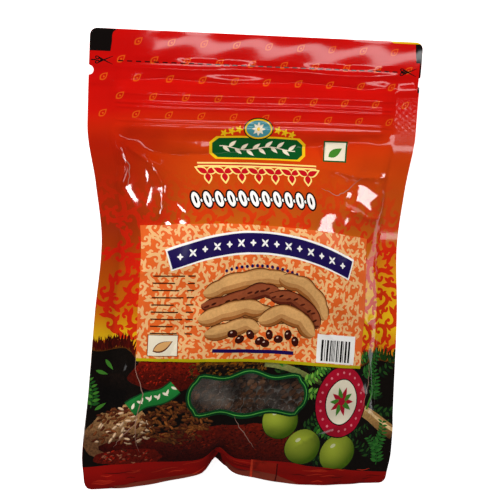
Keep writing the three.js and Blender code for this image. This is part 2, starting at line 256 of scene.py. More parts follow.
def film_detail(u, v):
    """Folds, zipper ridges and seal marks that show through the front film."""
    x = u * along(HALF_WIDTH, v)
    inside = np.clip(pillow(u, 8) * 5, 0, 1)
    height = folds(x, v) * (0.1 + 0.9 * inside) * (1 - ramp(186, 190, v))
    unrest = 0.35 * np.sin(0.31 * x + 0.12 * v) * np.sin(0.22 * v - 0.15 * x)
    height += unrest * inside * (1 - ramp(150, 160, v))
    height += zipper_marks(u, x, v) + seal_marks(x, v, inside)
    return height + 0.9 * bell(x - DENT_X + 0.4, 4.5) * bell(v - 4, 5.5)


def front_point(x_print, v, lift=0.0):
    u = x_print / HALF
    px, py = plan_xy(u, v, 1.0)
    z = along(SEAL_HEIGHT, v) + leaf_space(v) + front_rise(u, v) + zip_space(u, v) + FILM
    return np.stack([px, py, z + film_detail(u, v) + lift], -1)


def back_point(x_print, v, lift=0.0):
    u = x_print / HALF
    px, py = plan_xy(u, v, 0.8)
    drop = along(BACK_DROP, v) * pillow(u, 4)
    z = np.maximum(FILM, along(SEAL_HEIGHT, v) - leaf_space(v) - drop - zip_space(u, v)) - FILM
    return np.stack([px, py, z + lift], -1)


def normals_of(point, x_print, v):
    """Normals of a film, eased towards the vertical round the dent of the bottom edge."""
    step = 0.35
    a = point(x_print + step, v) - point(x_print - step, v)
    b = point(x_print, np.minimum(v + step, LENGTH)) - point(x_print, np.maximum(v - step, 0))
    n = np.cross(a, b)
    n /= np.linalg.norm(n, axis=1)[:, None]
    n[:, 2] += 2.4 * np.sign(n[:, 2]) * bell(x_print - DENT_X, 13) * bell(v, 15)
    return n / np.linalg.norm(n, axis=1)[:, None]


# Drawing on the print: each shape is a closed outline with an ink
def ink(r, g, b):
    c = np.array([r, g, b]) / 255
    return np.where(c <= 0.04045, c / 12.92, ((c + 0.055) / 1.055) ** 2.4)


RED = ink(205, 8, 4)
GOLD, YELLOW, CREAM = ink(222, 140, 14), ink(232, 186, 20), ink(234, 222, 196)
NAVY, WHITE, BLACK = ink(28, 14, 74), ink(240, 236, 230), ink(14, 8, 6)
GREEN, LEAF, PALE_LEAF = ink(8, 78, 30), ink(66, 128, 40), ink(118, 176, 62)
CRIMSON = ink(172, 12, 40)
TAN, BROWN, SEED = ink(186, 138, 86), ink(96, 44, 20), ink(132, 72, 30)


def turned(points, turn, x, v):
    c, s = math.cos(turn), math.sin(turn)
    return points @ np.array([[c, s], [-s, c]]) + [x, v]


def oval(cx, cy, a, b, turn, n):
    t = np.linspace(0, 2 * math.pi, n, endpoint=False)
    return turned(np.stack([a * np.cos(t), b * np.sin(t)], 1), turn, cx, cy)


def block(x1, y1, x2, y2):
    return np.array([(x1, y1), (x2, y1), (x2, y2), (x1, y2)], float)


def stroke(points, start, end=None, middle=None):
    """Outline of a line drawn with a width that may taper."""
    p = np.asarray(points, float)
    d = np.gradient(p, axis=0)
    n = np.stack([-d[:, 1], d[:, 0]], 1)
    n /= np.linalg.norm(n, axis=1)[:, None] + 1e-9
    t = np.linspace(0, 1, len(p))
    end = start if end is None else end
    width = (start + (end - start) * t) / 2
    if middle is not None:
        width = width + (middle / 2 - width) * np.sin(math.pi * t) ** 0.8
    return np.concatenate([p + n * width[:, None], (p - n * width[:, None])[::-1]])


def petal(x, y, length, width, turn, n=9):
    t = np.linspace(0, 1, n)
    side = width / 2 * np.sin(math.pi * t**0.8)
    upper = np.stack([t * length, side], 1)
    lower = np.stack([t * length, -side], 1)[::-1][1:-1]
    return turned(np.concatenate([upper, lower]), turn, x, y)


def encloses(loop, x, v):
    """Which of the points lie inside a closed loop, by its winding round them."""
    px, py = x[:, None], v[:, None]
    a, b = loop, np.roll(loop, -1, 0)
    cross = (a[:, 1] > py) != (b[:, 1] > py)
    with np.errstate(divide="ignore", invalid="ignore"):
        at = a[:, 0] + (py - a[:, 1]) / (b[:, 1] - a[:, 1]) * (b[:, 0] - a[:, 0])
    return np.where(cross & (px < at), np.where(b[:, 1] > a[:, 1], 1, -1), 0).sum(1) != 0


SNAP, SLIVER_AREA = 2e-4, 1e-7


def triangulate(shapes, xs, vs, outline):
    """Mesh of the print with every shape's edge in it, and for each face the shape on top."""
    grid_x, grid_v = np.meshgrid(xs, vs)
    points = [Vector(p) for p in np.stack([grid_x.ravel(), grid_v.ravel()], 1)]
    edges = []
    low, high = outline.min(0), outline.max(0)
    for loop in [outline] + [shape[0] for shape in shapes]:
        base = len(points)
        points += [Vector(np.clip(p, low, high)) for p in loop]
        edges += [(base + i, base + (i + 1) % len(loop)) for i in range(len(loop))]
    verts, _, faces, _, _, _ = delaunay_2d_cdt(points, edges, [], 1, SNAP, False)
    flat = np.array([tuple(p) for p in verts])
    tris = np.array([f for f in faces if len(f) == 3])
    corner = flat[tris]
    one, two = corner[:, 1] - corner[:, 0], corner[:, 2] - corner[:, 0]
    area = one[:, 0] * two[:, 1] - one[:, 1] * two[:, 0]
    tris[area < 0] = tris[area < 0][:, ::-1]
    tris = tris[np.abs(area) > SLIVER_AREA]
    middle = flat[tris].mean(1)
    top = np.full(len(tris), -1)
    order = np.argsort(middle[:, 1])
    rows = middle[order, 1]
    for index, shape in enumerate(shapes):
        low, high = shape[0].min(0), shape[0].max(0)
        near = order[np.searchsorted(rows, low[1]) : np.searchsorted(rows, high[1])]
        near = near[(middle[near, 0] > low[0]) & (middle[near, 0] < high[0])]
        if len(near):
            top[near[encloses(shape[0], *middle[near].T)]] = index
    return flat, tris, top


def painted(shapes, corner, top, colours):
    """Ink at every corner and grain of every face, from the shape on top."""
    grain = np.zeros(len(top))
    for index, (_, tone, rough) in enumerate(shapes):
        mine = top == index
        if mine.any():
            colours[mine] = tone(corner[mine][..., 0], corner[mine][..., 1]) if callable(tone) else tone
            grain[mine] = rough
    return colours, grain


def mesh_piece(name, points_mm, faces, normals=None, corners=None, grain=None):
    mesh = bpy.data.meshes.new(name)
    mesh.from_pydata((points_mm / 1000).tolist(), [], np.asarray(faces).tolist())
    if corners is not None:
        ink_layer = mesh.color_attributes.new("ink", "FLOAT_COLOR", "CORNER")
        rgba = np.ones((len(mesh.loops), 4), np.float32)
        rgba[:, :3] = corners.reshape(-1, 3)
        ink_layer.data.foreach_set("color", rgba.ravel())
    if grain is not None:
        grain_layer = mesh.attributes.new("grain", "FLOAT", "FACE")
        grain_layer.data.foreach_set("value", grain.astype(np.float32))
    mesh.shade_smooth()
    if normals is not None:
        mesh.normals_split_custom_set_from_vertices(normals.tolist())
    piece = bpy.data.objects.new(name, mesh)
    scene.collection.objects.link(piece)
    return piece


# Node materials
def material(name, base=(0.8, 0.8, 0.8), rough=0.5, coat=0.0, coat_rough=0.1):
    mat = bpy.data.materials.new(name)
    mat.use_nodes = True
    shader = mat.node_tree.nodes["Principled BSDF"]
    shader.inputs["Base Color"].default_value = (*base, 1)
    shader.inputs["Roughness"].default_value = rough
    shader.inputs["Coat Weight"].default_value = coat
    shader.inputs["Coat Roughness"].default_value = coat_rough
    return mat, mat.node_tree, shader


def object_place(tree):
    return tree.nodes.new("ShaderNodeTexCoord").outputs["Object"]


def attribute(tree, name, output):
    made = tree.nodes.new("ShaderNodeAttribute")
    made.attribute_name = name
    return made.outputs[output]


def noise(tree, scale, detail=3.0, rough=0.5):
    made = tree.nodes.new("ShaderNodeTexNoise")
    made.inputs["Scale"].default_value = scale
    made.inputs["Detail"].default_value = detail
    made.inputs["Roughness"].default_value = rough
    tree.links.new(object_place(tree), made.inputs["Vector"])
    return made.outputs["Fac"]


def span(tree, value, low, high, to_low, to_high):
    made = tree.nodes.new("ShaderNodeMapRange")
    for key, number in zip(("From Min", "From Max", "To Min", "To Max"), (low, high, to_low, to_high)):
        made.inputs[key].default_value = number
    tree.links.new(value, made.inputs["Value"])
    return made.outputs["Result"]


def math_node(tree, kind, a, b):
    made = tree.nodes.new("ShaderNodeMath")
    made.operation = kind
    for socket, value in zip(made.inputs, (a, b)):
        if isinstance(value, (int, float)):
            socket.default_value = value
        else:
            tree.links.new(value, socket)
    return made.outputs[0]


def bump(tree, shader, height, strength, distance):
    made = tree.nodes.new("ShaderNodeBump")
    made.inputs["Strength"].default_value = strength
    made.inputs["Distance"].default_value = distance
    tree.links.new(height, made.inputs["Height"])
    tree.links.new(made.outputs["Normal"], shader.inputs["Normal"])


def mixed(tree, factor, a, b, blend="MIX"):
    made = tree.nodes.new("ShaderNodeMix")
    made.data_type = "RGBA"
    made.blend_type = blend
    for socket, value in zip((made.inputs[0], made.inputs[6], made.inputs[7]), (factor, a, b)):
        if isinstance(value, (int, float)):
            socket.default_value = value
        elif isinstance(value, np.ndarray):
            socket.default_value = (*value.tolist(), 1)
        else:
            tree.links.new(value, socket)
    return made.outputs[2]


def grey(tree, value):
    made = tree.nodes.new("ShaderNodeCombineColor")
    for socket in made.inputs[:3]:
        tree.links.new(value, socket)
    return made.outputs[0]


def mottled(tree, shader, scale, one, other):
    tree.links.new(mixed(tree, noise(tree, scale), one, other), shader.inputs["Base Color"])


def ink_material(name, rough, coat, coat_rough, pits=700):
    """Printed ink from the mesh's own colours, speckled where the print is grainy."""
    mat, tree, shader = material(name, rough=rough, coat=coat, coat_rough=coat_rough)
    shader.inputs["Specular IOR Level"].default_value = 0.0
    colour = attribute(tree, "ink", "Color")
    fine = span(tree, noise(tree, 900, 4, 0.7), 0.3, 0.7, 0.35, 1.75)
    speckle = mixed(tree, 1.0, colour, grey(tree, fine), "MULTIPLY")
    colour = mixed(tree, attribute(tree, "grain", "Fac"), colour, speckle)
    uneven = span(tree, noise(tree, 60, 2), 0.3, 0.7, 0.93, 1.05)
    colour = mixed(tree, 1.0, colour, grey(tree, uneven), "MULTIPLY")
    tree.links.new(colour, shader.inputs["Base Color"])
    small = math_node(tree, "MULTIPLY", noise(tree, pits, 2), 0.12)
    bump(tree, shader, math_node(tree, "ADD", noise(tree, 160, 2), small), 0.35, 0.0004)
    return mat


# The print on the front film
front_shapes = []
GROUND_STOPS = [
    (0, GOLD), (64, GOLD), (72, YELLOW), (92, ink(226, 158, 16)), (106, ink(204, 104, 14)),
    (120, ink(178, 76, 14)), (134, ink(186, 66, 8)), (148, ink(200, 58, 5)), (158, ink(208, 44, 4)),
    (168, ink(212, 16, 4)), (184, RED), (LENGTH, RED),
]


def draw(loop, tone, grain=0.0):
    """Adds a shape: its tone is an ink, or a function that gives the ink at x, v."""
    front_shapes.append((np.asarray(loop, float), tone, grain))


def ground(x, v):
    """Ink of the bare ground: red at the zipper end, through orange, to yellow."""
    at = [stop[0] for stop in GROUND_STOPS]
    wavy = v + 2.5 * np.sin(x * 0.06)
    tone = np.stack([np.interp(wavy, at, [stop[1][c] for stop in GROUND_STOPS]) for c in range(3)], -1)
    left = (ramp(22, 62, -x) * ramp(66, 84, v) * (1 - ramp(150, 165, v)))[..., None]
    return tone * (1 - left * [0.3, 0.7, 0.7])


def scroll_ink(x, v):
    part = np.clip((142 - v) / 34, 0, 1)[..., None] * 0.95
    return ground(x, v) * (1 - part) + ink(206, 24, 6) * part


def round_shade(cx, cy, r, dark, light):
    def shade(x, v):
        t = np.clip(np.hypot(x - cx + 0.35 * r, v - cy - 0.4 * r) / (1.35 * r), 0, 1)[..., None]
        return light * (1 - t) + dark * t

    return shade


def fade(low_tone, high_tone, low, high, slant=0.0):
    def shade(x, v):
        t = np.clip((v + slant * x - low) / (high - low), 0, 1)[..., None]
        return low_tone * (1 - t) + high_tone * t

    return shade


# Leaves of a scroll, as (point of its stem, lean, length, width)
SCROLL_LEAVES = ((7, 0.7, 0.5, 0.26), (10, 0.6, 0.75, 0.36), (14, -0.15, 1.0, 0.42), (18, -0.7, 0.6, 0.3))


def flourish(x, v, size, turn, hand):
    """A common scroll: two curls joined by a swelling stem, with leaves along it."""
    t = np.linspace(0, 1, 15)
    first_r, first_a = 0.12 + 0.55 * t, -hand * (1 - t) * 5.0
    second_r, second_a = 0.38 - 0.28 * t[1:], math.pi - hand * 4.4 * t[1:]
    first = np.stack([first_r * np.cos(first_a), first_r * np.sin(first_a)], 1)
    second = np.stack([1.05 + second_r * np.cos(second_a), second_r * np.sin(second_a)], 1)
    line = np.concatenate([first, second])
    loops = [stroke(line, 0.1, 0.08, 0.4)]
    loops += [oval(*line[0], 0.17, 0.17, 0, 8), oval(*line[-1], 0.13, 0.13, 0, 7)]
    for at, lean, reach, wide in SCROLL_LEAVES:
        step = line[at + 1] - line[at]
        heading = math.atan2(step[1], step[0]) - hand * lean
        loops.append(petal(*line[at], reach, wide, heading, 7))
    return [turned((loop - [0.5, 0]) * size, turn, x, v) for loop in loops]


def scroll_field(left, low, rows, cols, across, up, jitter, sizes, bare):
    """Outlines of scrolls in staggered rows, with none where bare(x, v) is true."""
    for row in range(rows):
        for col in range(cols):
            x = left + col * across + (across / 2 if row % 2 else 0) + rng.uniform(-jitter, jitter)
            v = low + row * up + rng.uniform(-jitter, jitter)
            if not bare(x, v):
                hand = 1 if (row + col) % 2 else -1
                yield from flourish(x, v, rng.uniform(*sizes), rng.uniform(0, 6.3), hand)


def bare_of_scrolls(x, v):
    return abs(x) > 71 or (64 < v < 113 and -48 < x < 47)


for loop in scroll_field(-71, 57, 14, 16, 9.8, 7.0, 0.8, (4.9, 5.7), bare_of_scrolls):
    draw(loop, scroll_ink)
scroll_count = len(front_shapes)

# Small drop motif repeated over the zipper end
DROP_INK = ink(226, 84, 14)
for row in range(5):
    for col in range(11):
        x = -66 + col * 14 + (7 if row % 2 else 0)
        v = 165 + row * 7.6
        if abs(x) < 70:
            drop = petal(x - 1.9, v - 1.6, 4.6, 2.6, 0.75, 9)
            draw(drop, DROP_INK)
            draw((drop - drop.mean(0)) * 0.66 + drop.mean(0), ink(206, 14, 4))
            draw(oval(x - 0.2, v - 0.2, 0.45, 0.45, 0, 8), DROP_INK)

# Register marks, cut line and scissors
CUT_V = 186.6
for corners, tone in (
    ((-HALF, 190.6, -63.8, LENGTH), BLACK), ((70, 191, HALF, LENGTH), BLACK),
    ((71.7, 178, HALF, 191), BLACK), ((60, 199.2, HALF, LENGTH), YELLOW),
):
    draw(block(*corners), tone)
for k in (-3, -2, *range(34)):
    x = -60.5 + k * 3.75
    draw(block(x, CUT_V, x + 2.2, CUT_V + 0.5), BLACK)
for side in (-1, 1):
    for lean in (-0.42, 0.42):
        hinge = np.array([side * 66.5, CUT_V + 0.3])
        blade = np.array([math.cos(lean), math.sin(lean)])
        heel = hinge - 2.2 * blade
        draw(stroke([heel, hinge + 4.2 * blade], 0.75, 0.2), BLACK)
        draw(oval(heel[0] - 0.7, heel[1], 1.0, 0.75, lean, 12), BLACK)
        draw(oval(heel[0] - 0.7, heel[1], 0.5, 0.35, lean, 10), RED)

# Leaf plaque with stars and a flower medallion over it
PLAQUE_X, PLAQUE_V = 1.2, 152.2
MEDAL_X, MEDAL_V = 1.0, 160.2
plaque = np.array([
    (-21, -4), (-18.5, -6.7), (18.5, -6.7), (21, -4), (21, 1.5),
    (18, 4.3), (8, 4.8), (-8, 4.8), (-18, 4.3), (-21, 1.5),
])
draw(plaque * [1.03, 1] + [PLAQUE_X, PLAQUE_V], YELLOW)
draw((plaque + [0, 1]) * [0.965, 0.86] + [PLAQUE_X, PLAQUE_V - 1], GREEN)
for side in (-1, 1):
    for k in range(3):
        for j in range(5):
            star = (MEDAL_X + side * (8.6 + 3.2 * k), MEDAL_V - 0.4 - 0.9 * k)
            draw(petal(*star, 1.9, 0.9, j * 1.257), YELLOW)
for grow, tone in ((1.2, BLACK), (0.7, YELLOW), (0, ink(70, 140, 150))):
    draw(oval(MEDAL_X, MEDAL_V, 5.4 + grow, 3.7 + grow, 0, 28), tone)
for k in range(8):
    draw(petal(MEDAL_X, MEDAL_V, 3.0, 1.3, k * math.pi / 4), CREAM)
draw(oval(MEDAL_X, MEDAL_V, 0.8, 0.8, 0, 10), YELLOW)
t = np.linspace(-1, 1, 24)
draw(stroke(np.stack([PLAQUE_X + 17 * t, PLAQUE_V - 1 + 0.9 * np.sin(5 * t)], 1), 0.4), CREAM)
for k, at in enumerate(np.linspace(-15.5, 14, 12)):
    lean = 0.75 if k % 2 else -0.75
    draw(petal(PLAQUE_X + at, PLAQUE_V - 1 + 0.9 * math.sin(5 * at / 17), 4.4, 1.7, lean), CREAM)

# Square with a leaf
draw(block(30.8, 146.0, 41.8, 155.8), GREEN)
draw(block(31.5, 146.7, 41.1, 155.1), CREAM)
draw(petal(33.4, 148.4, 7.4, 3.6, 0.6), LEAF)

# Two ornament rows: hanging flowers under a bar, and a chain
FLOWER_V, CHAIN_V = 138.6, 126.4
for k in range(7):
    x = -22.4 + k * 7.7
    for grow, tone in ((0.75, ink(244, 214, 120)), (0.0, ink(186, 14, 26))):
        for turn, reach in ((0.5, 5.2), (2.64, 5.2), (-1.57, 4.4)):
            heart = (x - 0.5 * grow * math.cos(turn), FLOWER_V - 0.5 * grow * math.sin(turn))
            draw(petal(*heart, reach + 2 * grow, 2.7 + 1.6 * grow, turn), tone)
        draw(block(x - 3.9, 142.4 - grow, x + 3.95, 143.1 + grow), tone)
for k in range(11):
    x = -29.5 + k * 5.4
    for grow, tone in ((0.8, BLACK), (0.0, WHITE)):
        draw(oval(x, CHAIN_V, 1.8 + grow, 3.5 + grow, 0.18, 16), tone)
    draw(oval(x, CHAIN_V, 0.5, 1.8, 0.18, 10), BLACK)
    if k < 10:
        draw(oval(x + 2.7, CHAIN_V - 0.4, 1.2, 1.2, 0, 10), BLACK)
        draw(oval(x + 2.7, CHAIN_V - 0.4, 0.7, 0.7, 0, 10), WHITE)

# Printed still life along the bottom: its dark ground, with a fringe of grass
FOOT = [[HALF, 0], [-HALF, 0]]
STILL_TOP = 59.4
edge_x = np.linspace(-HALF, HALF, 60)
edge_v = STILL_TOP + 0.8 * np.sin(edge_x * 0.31 + 1)
edge_v += 8.5 * ramp(-48, -58, edge_x) + 2.4 * ramp(50, 58, edge_x)
for k in range(7):
    part = (k + 1) / 7
    tone = ink(214, 120, 14) * (1 - part) + ink(14, 8, 5) * part
    draw(np.concatenate([np.stack([edge_x, edge_v + 1.4 - 5.0 * part], 1), FOOT]), tone, 0.5)
for _ in range(150):
    x = rng.uniform(-72, -53) if rng.uniform() < 0.6 else rng.uniform(54, 72)
    v = np.interp(x, edge_x, edge_v)
    tone = ink(80, 12, 4) if x < 0 else ink(26, 60, 16)
    blade = petal(x, v - 3.5, rng.uniform(4, 7.5), 0.8, 1.57 + rng.uniform(-0.35, 0.35), 6)
    draw(blade, tone * rng.uniform(0.3, 1.0))


def heap(cx, cv, a, b, dark, light, turn=0.0):
    t = np.linspace(0, 2 * math.pi, 40, endpoint=False)
    wobble = 1 + 0.08 * np.sin(3 * t + cx) + 0.04 * np.sin(7 * t + cv)
    loop = oval(0, 0, a, b, 0, 40) * wobble[:, None]
    draw(turned(loop, turn, cx, cv), fade(dark, light, cv - b, cv + b, 0.15), 1.0)


def seeds(cx, cv, a, b, count, size, inks, turn):
    for _ in range(count):
        r, t = math.sqrt(rng.uniform(0, 1)), rng.uniform(0, 2 * math.pi)
        x, v = cx + a * r * math.cos(t), cv + b * r * math.sin(t)
        tone = inks[rng.integers(len(inks))] * rng.uniform(0.7, 1.25)
        lean = turn + rng.uniform(-0.9, 0.9)
        draw(oval(x, v, size * rng.uniform(0.8, 1.2), size * 0.42, lean, 7), tone * 0.45)
        draw(oval(x - 0.08, v + 0.12, size * 0.82, size * 0.27, lean, 6), tone)


def spray(x, v, length, turn, leaf, dark, light, pairs=9):
    """A stem with small leaves in pairs."""
    t = np.linspace(0, 1, 12)
    bend = turn + 0.5 * t
    stem = np.stack([x + length * t * np.cos(bend), v + length * t * np.sin(bend)], 1)
    draw(stroke(stem, 0.5, 0.2), dark)
    for k in range(pairs):
        at = (k + 1) / (pairs + 0.5)
        foot = (np.interp(at, t, stem[:, 0]), np.interp(at, t, stem[:, 1]))
        for side in (-1, 1):
            lean = turn + 0.5 * at + side * 1.15
            size = leaf * (1 - 0.4 * at)
            draw(petal(*foot, size, size * 0.42, lean, 6), light if (k + (side > 0)) % 2 else dark)


# Heaps of powder and seeds
RUST, DUST = ink(150, 26, 8), ink(84, 12, 4)
heap(-40, 53.5, 15, 8.5, ink(70, 10, 3), RUST)
heap(-58, 26, 15, 12.5, ink(96, 62, 38), TAN, 0.3)
heap(-64, 45, 9, 9, ink(8, 5, 4), ink(30, 16, 10))
heap(-14, 18.5, 47, 10.5, ink(44, 4, 2), ink(104, 20, 6))
heap(-52, 14.5, 15, 4.5, DUST, ink(120, 22, 8))
seeds(-52, 15, 13, 3.5, 60, 0.9, [RUST, DUST, ink(150, 84, 60)], 0.2)
seeds(-13, 54, 18, 8, 330, 1.0, [ink(120, 72, 18), ink(76, 44, 14), ink(46, 24, 8)], 0.5)
seeds(-57, 28, 13, 10, 110, 1.5, [ink(226, 186, 146), ink(120, 62, 30), ink(84, 34, 16)], 0.4)
seeds(-33, 31, 15, 10, 260, 1.5, [SEED * 0.6, BROWN * 0.7, ink(134, 74, 30)], -0.3)
seeds(-6, 22, 26, 7, 170, 0.8, [ink(130, 30, 8), ink(60, 8, 4), ink(96, 30, 14)], 0.2)
seeds(-40, 54, 13, 6, 130, 0.7, [RUST, DUST], 0.6)

# Branches, sprays of leaves and green fruit
for _ in range(34):
    x, v = rng.uniform(8, 68), rng.uniform(11, 58)
    spray(x, v, rng.uniform(9, 16), rng.uniform(-0.8, 2.2), 3.4, ink(10, 30, 12), ink(34, 70, 24), 8)
branch = np.linspace(0, 1, 14)
upper_branch = np.stack([4 + 29 * branch, 56.5 - 9 * branch**1.6], 1)
lower_branch = np.stack([54 + 19 * branch, 36 - 11 * branch + 0.8 * np.sin(5 * branch)], 1)
draw(stroke(upper_branch, 3.4, 2.0), fade(ink(52, 62, 24), ink(150, 150, 84), 48, 58), 0.5)
draw(stroke(lower_branch, 5.2, 6.6), fade(ink(74, 44, 18), ink(196, 150, 88), 22, 37), 0.5)
draw(stroke(lower_branch + [0, 1.4], 1.2, 1.6), ink(222, 186, 130), 0.5)
draw(stroke(np.stack([58 + 5 * branch, 36 + 14 * branch], 1), 1.1, 0.4), LEAF)
for x, v, turn in (
    (28, 54, 0.2), (42, 58, -0.25), (54, 52, 0.4), (61, 41, 1.1), (63, 16, 0.8), (30, 38, -0.5),
    (31, 30, -0.9), (26, 60, -0.6), (66, 9, 1.5), (-71, 38, 1.3),
):
    spray(x, v, 15, turn, 4.0, ink(30, 84, 28), LEAF if x < 50 else ink(46, 104, 38))
for x, v, turn in ((9, 57, 0.25), (22, 49, 0.1), (16, 59.5, -0.1), (33, 47, -0.8), (24, 44, -0.3)):
    spray(x, v, 13, turn, 3.6, LEAF, PALE_LEAF, 8)
for x, v, r in ((14, 30.5, 8.2), (26.5, 18.5, 8.5), (44.5, 15.5, 8.8)):
    draw(oval(x, v, r + 0.3, r + 0.3, 0, 34), ink(30, 42, 8))
    draw(oval(x, v, r, r, 0, 34), round_shade(x, v, r, ink(62, 92, 8), ink(184, 196, 62)))
    draw(oval(x - 0.32 * r, v + 0.4 * r, r * 0.16, r * 0.1, 0.6, 10), ink(222, 226, 170))
for x, v, turn in ((-69, 37, 0.6), (-70, 55, -0.3), (-66, 60, -0.9)):
    draw(petal(x, v, 6, 1.7, turn), LEAF)

# Wavy ribbon
t = np.linspace(0, 1, 22)
ribbon = np.stack([-54 + 18.5 * t, 37.6 + 9.4 * t + 1.1 * np.sin(6.3 * t)], 1)
draw(stroke(ribbon, 7.6), ink(10, 60, 26))
draw(stroke(ribbon, 6.4), fade(ink(22, 96, 38), ink(34, 132, 56), 34, 52))
for k, rise in enumerate((1.4, -1.0) * 5):
    at = ribbon[2 + 2 * k]
    draw(petal(at[0] - 1, at[1] - rise, 3.0, 1.1, 0.42 + (0.9 if rise > 0 else -0.9)), CREAM)

# Window and its frame
WINDOW_X, WINDOW_HALF = -2.4, 22.0
WINDOW_LOW, WINDOW_MIDDLE, WINDOW_TOP = 35.3, 42.4, 49.5


def cartouche(grow):
    """Outline of the window, or of a frame that is wider by grow."""
    t = np.linspace(-1, 1, 41)
    top = WINDOW_TOP + 1.6 * bell(t, 0.34) + 0.8 * np.cos(t * 6.3)
    low = WINDOW_LOW - 0.9 * bell(t, 0.4) - 0.7 * np.cos(t * 6.3)
    upper = np.stack([WINDOW_X + WINDOW_HALF * t, top], 1)
    lower = np.stack([WINDOW_X + WINDOW_HALF * t[::-1], low[::-1]], 1)
    a = np.linspace(1.25, -1.25, 13)[1:-1]
    bulge = np.stack([WINDOW_HALF - 1.2 + 5.2 * np.cos(a), 6.3 * np.sin(a)], 1)
    middle = [WINDOW_X, WINDOW_MIDDLE]
    loop = np.concatenate([upper, bulge + middle, lower, bulge[::-1] * [-1, 1] + middle])
    step = np.roll(loop, -1, 0) - np.roll(loop, 1, 0)
    out = np.stack([-step[:, 1], step[:, 0]], 1)
    return loop + grow * out / (np.linalg.norm(out, axis=1)[:, None] + 1e-9)


draw(cartouche(2.3), ink(4, 56, 24))
draw(cartouche(1.35), ink(84, 170, 70))
draw(cartouche(1.0), ink(6, 66, 28))
WINDOW = len(front_shapes)
draw(cartouche(0.0), BLACK)

# Rosette
ROSETTE_X, ROSETTE_V = 43.4, 39.7
for a, b, tone, points in (
    (14.0, 16.9, BLACK, 48), (13.5, 16.4, CRIMSON, 48), (8.8, 10.9, BLACK, 44), (8.3, 10.4, CREAM, 40),
):
    draw(oval(ROSETTE_X, ROSETTE_V, a, b, 0, points), tone)
for k in range(20):
    a = k * math.pi / 10
    bead = (ROSETTE_X + 11.2 * math.cos(a), ROSETTE_V + 13.6 * math.sin(a))
    draw(oval(*bead, 0.6, 0.6, 0, 8), ink(222, 120, 130))
for k in range(10):
    a = k * math.pi / 5
    reach = 7.6 - 1.2 * abs(math.cos(a))
    draw(petal(ROSETTE_X, ROSETTE_V, reach, 2.5, a), LEAF if k % 2 else CRIMSON)
draw(oval(ROSETTE_X, ROSETTE_V, 1.9, 1.9, 0, 16), CRIMSON)

# Pale lines along the creases: painted highlights of the folds
for route in (
    [(-53.5, 63), (-53, 55), (-50.5, 48), (-49, 43), (-51, 34), (-50.5, 25), (-48, 17)],
    [(-51, 31), (-55, 27), (-59, 20)],
    [(-8, 33), (-5, 28), (1, 21), (4, 17)],
    [(58, 60), (58.5, 48), (55.5, 36)],
    [(-59.5, 148), (-56.5, 143), (-59, 131)],
    [(30, 133), (38, 130), (43, 133), (50, 140)],
):
    route = np.asarray(route, float)
    knots = np.linspace(0, 1, len(route))
    fine = np.stack([np.interp(branch, knots, route[:, 0]), np.interp(branch, knots, route[:, 1])], 1)
    # pale ink along each crease: a painted highlight of the fold
    draw(stroke(fine + 0.25 * np.sin(9 * fine[:, ::-1]), 0.05, 0.05, 0.36), ink(150, 112, 98))

# Red band under the still life, with thin lines over it: painted highlights and painted shade of the ribs
# pressed into its seal
BAND_TOP = [
    (-HALF, 10.5), (-55, 11.5), (-43, 11.8), (-30, 9.6), (-12, 8.0),
    (5, 9.6), (20, 10.4), (31, 9.2), (42, 8.2), (HALF, 5.4),
]
band = np.stack([edge_x, along(BAND_TOP, edge_x)], 1)
draw(np.concatenate([band, FOOT]), fade(ink(112, 6, 3), ink(150, 12, 6), 0, 9))
for k in range(34):
    x, v, reach = rng.uniform(-70, 64), rng.uniform(1, 8), rng.uniform(4, 13)
    rib_highlight_and_shade = np.stack([x + reach * branch, v + 0.25 * np.sin(6 * branch + k) + 0.02 * reach * branch], 1)
    # lighter lines are painted highlights, darker lines are painted shade of the ribs
    draw(stroke(rib_highlight_and_shade, 0.1, 0.1, 0.42), ink(176, 40, 20) if k % 3 else ink(84, 4, 2))

# Pleat in the bottom seal, painted in light and shade, and the strip under the band that has no print
UNPRINTED = ink(116, 44, 30)
# face of the pleat, lighter towards the top: painted light
draw([(5.2, 0), (17.5, 0), (16.4, 9.2), (3.8, 9.8)], fade(ink(112, 12, 6), ink(158, 30, 14), 0, 10))
draw([(-60, 0), (-19, 0), (-21, 0.7), (-28, 1.5), (-60, 1.2)], UNPRINTED)
draw([(-7, 0), (4.4, 0), (4.4, 2.9), (-7, 2.4)], UNPRINTED)
draw([(5.6, 0), (30, 0), (26, 0.9), (19, 2.4), (16.9, 3.2), (5.4, 3.4)], UNPRINTED)
# lit edge of the pleat: a painted highlight
draw([(4.4, 0), (5.6, 0), (4.6, 9.6), (3.6, 9.8)], ink(192, 54, 30))
# shaded edge of the pleat: painted shade
draw([(16.9, 0), (17.6, 0), (16.6, 9.0), (16.0, 9.2)], ink(64, 4, 2))
# dark triangle by the dent of the bottom edge: a painted shadow of the fold
draw([(-13.5, 0), (-8.5, 0), (-10, 4.6)], ink(40, 6, 3))

# Lines of the meshes: close together over the zipper and the seals' edges
def merged(*parts):
    return np.unique(np.concatenate(parts))


